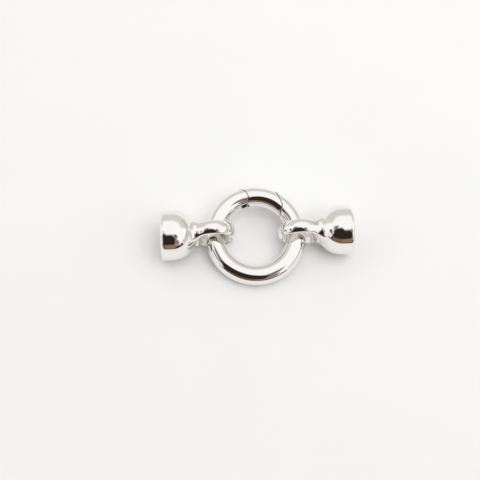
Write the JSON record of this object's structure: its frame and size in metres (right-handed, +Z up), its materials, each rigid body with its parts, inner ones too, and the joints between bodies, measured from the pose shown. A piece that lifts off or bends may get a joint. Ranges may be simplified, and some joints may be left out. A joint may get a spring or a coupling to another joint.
{
  "type": "spring gate ring clasp with cord end caps",
  "caption": "Round clasp in polished metal: a ring of round bar with a sprung gate that swings inwards, and a domed cord end cap hung on the bar at either side by a cast loop.",
  "frame": {"origin": "middle of the clasp's footprint, on the surface that it lies on", "axes": "+Z up from the table, +X towards the right-hand end cap in the picture, +Y away from the camera, towards the gate"},
  "size_m": [0.0344, 0.0178, 0.0089],
  "materials": {
    "plated_metal": "mirror-polished plating on brass",
    "spring_steel": "plain spring strip"
  },
  "bodies": {
    "ring": {"ring_body": "plated_metal", "hinge_pin": "plated_metal", "gate_spring": "spring_steel"},
    "gate": {"gate": "plated_metal"},
    "cap_left": {"end_cap_left": "plated_metal"},
    "cap_right": {"end_cap_right": "plated_metal"}
  },
  "joints": [
    {"name": "gate_hinge", "type": "hinge", "parent": "ring", "child": "gate", "pos_m": [-0.00334, 0.00642, 0.00416], "axis": [0, 0.1748, -0.9846], "range_deg": [0, 32], "stiffness_Nm_per_rad": 0.001, "springref_deg": -8.59},
    {"name": "left_cap_swing", "type": "hinge", "parent": "ring", "child": "cap_left", "pos_m": [-0.00771, -0.00013, 0.00399], "axis": [-0.0646, 0.9941, 0.087], "range_deg": [-90, 110]},
    {"name": "right_cap_swing", "type": "hinge", "parent": "ring", "child": "cap_right", "pos_m": [0.00778, 0.00019, 0.00399], "axis": [0.0397, -0.9954, -0.087], "range_deg": [-90, 110]}
  ]
}
